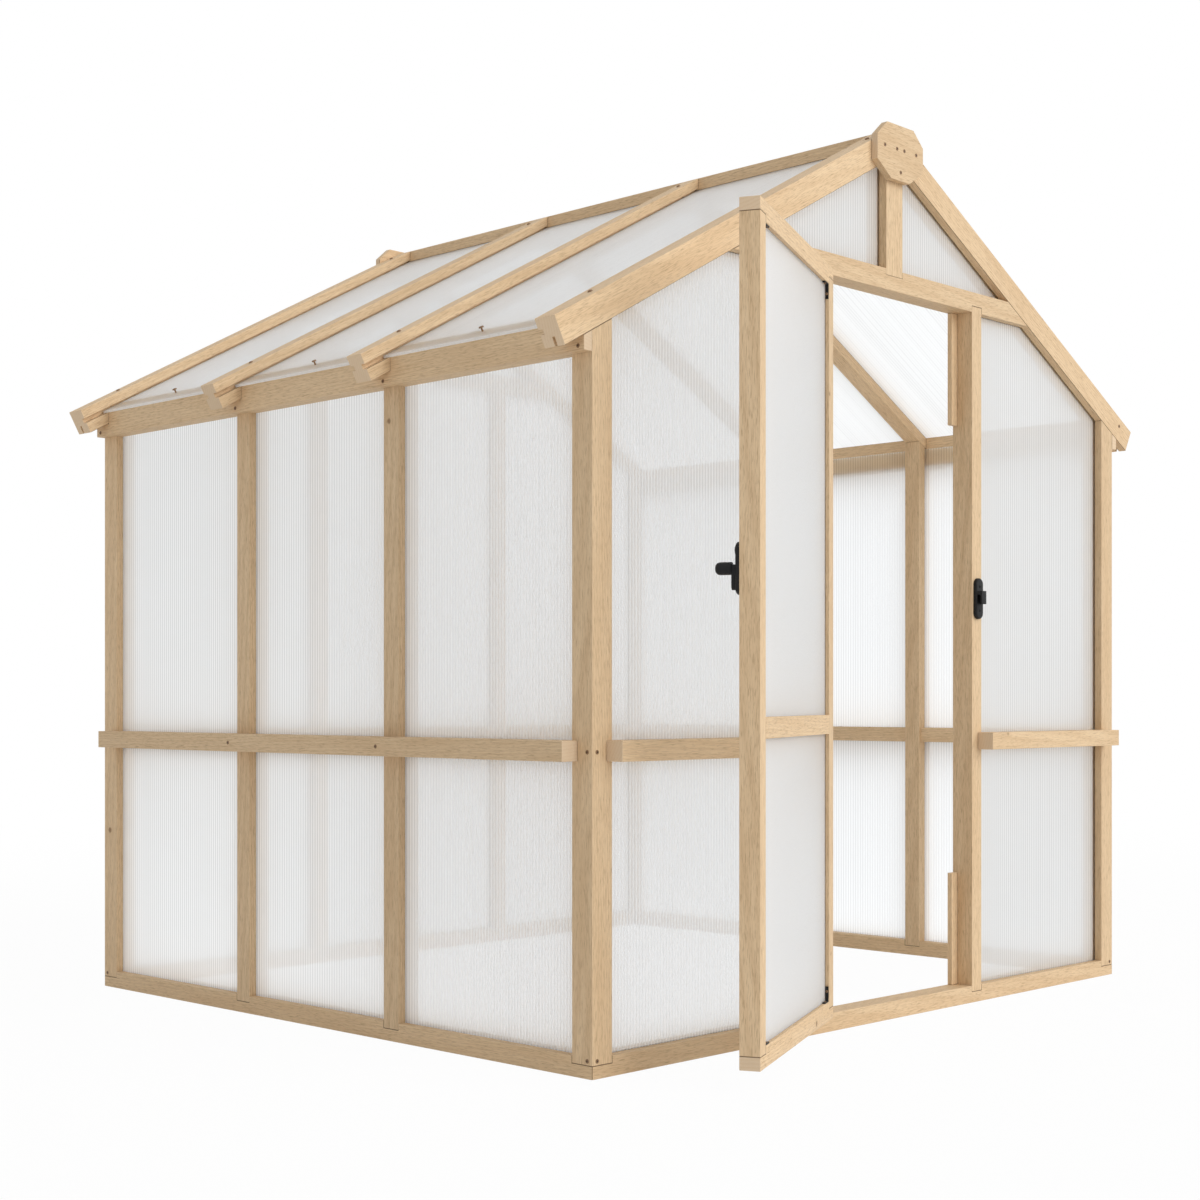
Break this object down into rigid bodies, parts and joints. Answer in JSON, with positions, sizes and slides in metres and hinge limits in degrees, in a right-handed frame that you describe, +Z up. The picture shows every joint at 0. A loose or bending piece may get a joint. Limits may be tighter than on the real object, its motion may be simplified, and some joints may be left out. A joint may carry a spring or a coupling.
{
  "type": "wooden greenhouse",
  "caption": "Walk-in timber-framed greenhouse with a gable roof, translucent twin-wall sheets held in grooves and a hinged front door with a turning latch.",
  "frame": {"origin": "middle of the front base rail's underside, on the ground", "axes": "+X to the right seen from the front, +Y from the front wall to the back wall, +Z up"},
  "size_m": [2.256, 2.1748, 2.1088],
  "materials": {
    "timber": "planed, untreated softwood",
    "twin_wall_sheet": "translucent, ribbed",
    "black_hardware": "black powder coat"
  },
  "bodies": {
    "frame": {"back_posts": "timber", "base_rail_back": "timber", "base_rail_front": "timber", "base_rail_left": "timber", "base_rail_right": "timber", "corner_post_back_left": "timber", "corner_post_back_right": "timber", "corner_post_front_left": "timber", "corner_post_front_right": "timber", "door_post_left": "timber", "door_post_right": "timber", "door_stops": "timber", "eave_beam_left": "timber", "eave_beam_right": "timber", "gable_plate_back": "timber", "gable_plate_front": "timber", "gable_sheets_back": "twin_wall_sheet", "gable_sheets_front": "twin_wall_sheet", "hinge_pins": "black_hardware", "hinge_post_leaves": "black_hardware", "king_post_back": "timber", "king_post_front": "timber", "latch_keeper": "black_hardware", "mid_rafters_left": "timber", "mid_rafters_right": "timber", "mid_rails_back": "timber", "mid_rails_front": "timber", "mid_rails_left": "timber", "mid_rails_right": "timber", "outer_rail_back": "timber", "outer_rail_front_left": "timber", "outer_rail_front_right": "timber", "outer_rail_left": "timber", "outer_rail_right": "timber", "rafter_back_left": "timber", "rafter_back_right": "timber", "rafter_front_left": "timber", "rafter_front_right": "timber", "ridge_board": "timber", "roof_sheets_left": "twin_wall_sheet", "roof_sheets_right": "twin_wall_sheet", "side_posts_left": "timber", "side_posts_right": "timber", "transom_back": "timber", "transom_front": "timber", "wall_sheets_back": "twin_wall_sheet", "wall_sheets_front": "twin_wall_sheet", "wall_sheets_left": "twin_wall_sheet", "wall_sheets_right": "twin_wall_sheet"},
    "door": {"door_corner_brackets": "black_hardware", "door_rail_bottom": "timber", "door_rail_mid": "timber", "door_rail_top": "timber", "door_sheets": "twin_wall_sheet", "door_stile_hinge": "timber", "door_stile_latch": "timber", "hinge_door_leaves": "black_hardware", "latch_plate": "black_hardware"},
    "latch": {"latch_knob": "black_hardware"}
  },
  "joints": [
    {"name": "door_swing", "type": "hinge", "parent": "frame", "child": "door", "pos_m": [-0.329, -0.0365, 0.8805], "axis": [0, 0, 1], "range_deg": [-3, 155]},
    {"name": "latch_turn", "type": "hinge", "parent": "door", "child": "latch", "pos_m": [-0.90158, -0.31232, 1.007], "axis": [-0.4226, 0.9063, 0], "range_deg": [0, 90]}
  ]
}
